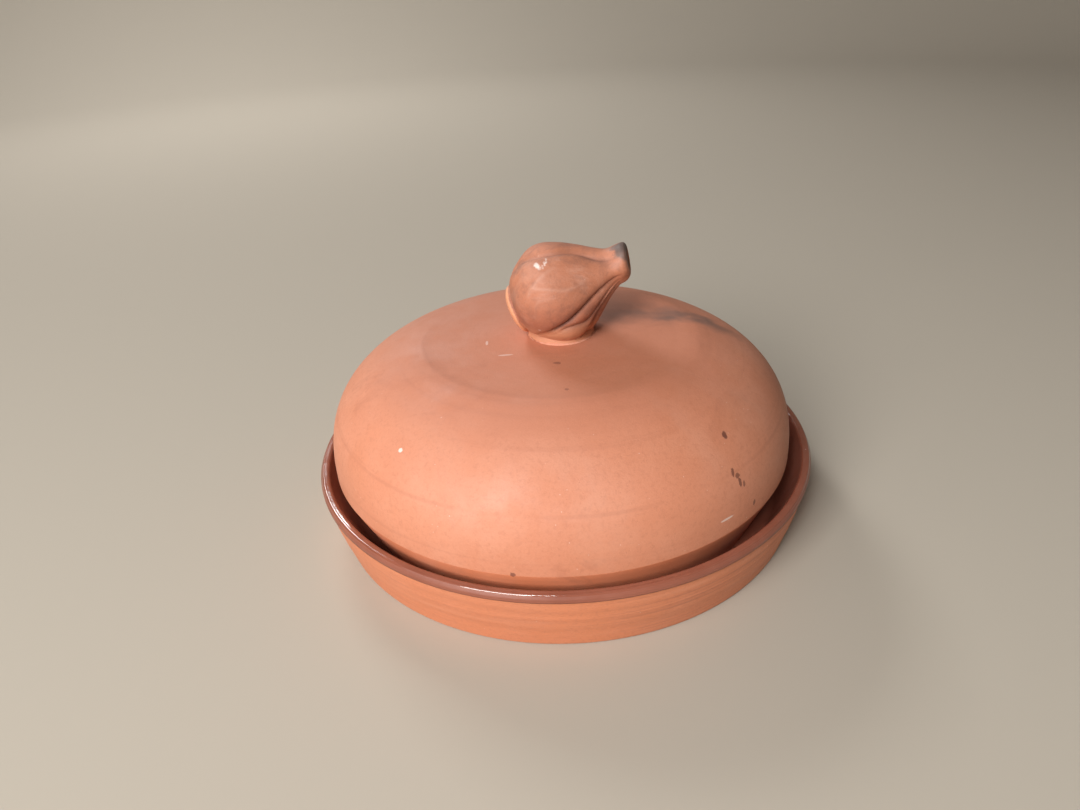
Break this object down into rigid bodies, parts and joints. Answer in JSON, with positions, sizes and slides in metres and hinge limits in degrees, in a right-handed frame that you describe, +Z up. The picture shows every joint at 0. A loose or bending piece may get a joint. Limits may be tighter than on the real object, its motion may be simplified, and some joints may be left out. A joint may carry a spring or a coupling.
{
  "type": "covered terracotta baker",
  "caption": "Round shallow terracotta dish with a glazed inside and rim, and a loose domed lid lifted by a knob shaped like a garlic bulb lying on its side.",
  "frame": {"origin": "centre of the dish's underside, at the height of the ring it stands on", "axes": "+Z up, along the dish's axis; +X towards the side that the garlic knob's stem points to; -Y is the front"},
  "size_m": [0.21, 0.21, 0.1157],
  "materials": {
    "terracotta_dish": "bare fired clay, matt",
    "terracotta_lid": "bare fired clay, matt",
    "glaze": "clear glaze over red clay, glossy"
  },
  "bodies": {
    "dish": {"dish": "terracotta_dish", "dish_glaze": "glaze"},
    "lid": {"lid": "terracotta_lid", "knob_collar": "terracotta_lid", "garlic_bulb_knob": "terracotta_lid"}
  },
  "joints": [
    {"name": "lid_lift", "type": "slide", "parent": "dish", "child": "lid", "axis": [0, 0, 1], "range_m": [0, 0.15]}
  ]
}
